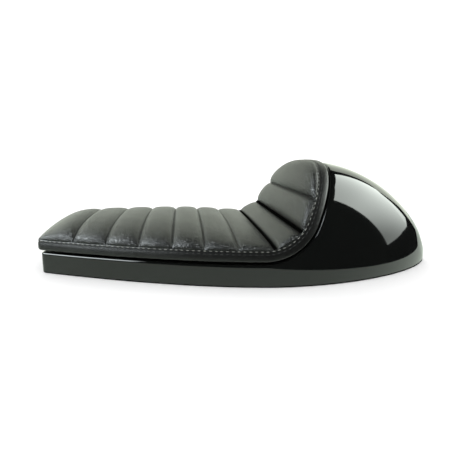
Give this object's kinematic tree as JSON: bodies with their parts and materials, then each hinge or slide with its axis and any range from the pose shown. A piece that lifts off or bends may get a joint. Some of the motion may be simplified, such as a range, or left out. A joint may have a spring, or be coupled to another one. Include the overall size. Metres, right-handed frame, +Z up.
{
  "type": "padded seat cowl",
  "caption": "Motorbike single seat: gloss moulded cowl with a tail hump, open underneath, and a bolted tuck-and-roll pad that scoops up the hump.",
  "frame": {"origin": "centre of the seat's outline on the plane that its rim stands on", "axes": "+X from nose to tail, +Z up from the rim, Y across the seat"},
  "size_m": [0.585, 0.242, 0.1531],
  "materials": {
    "cowl_gloss": "gloss black moulding",
    "cover_leather": "grained black seat leather, satin",
    "board_plastic": "matte black",
    "seat_foam": "open-cell foam",
    "zinc_steel": "zinc plated"
  },
  "bodies": {
    "root": {"cowl_shell": "cowl_gloss", "cover_top": "cover_leather", "cover_band": "cover_leather", "pad_board": "board_plastic", "foam_core": "seat_foam", "pad_studs": "zinc_steel", "stud_washers": "zinc_steel", "stud_nuts": "zinc_steel"}
  },
  "joints": []
}
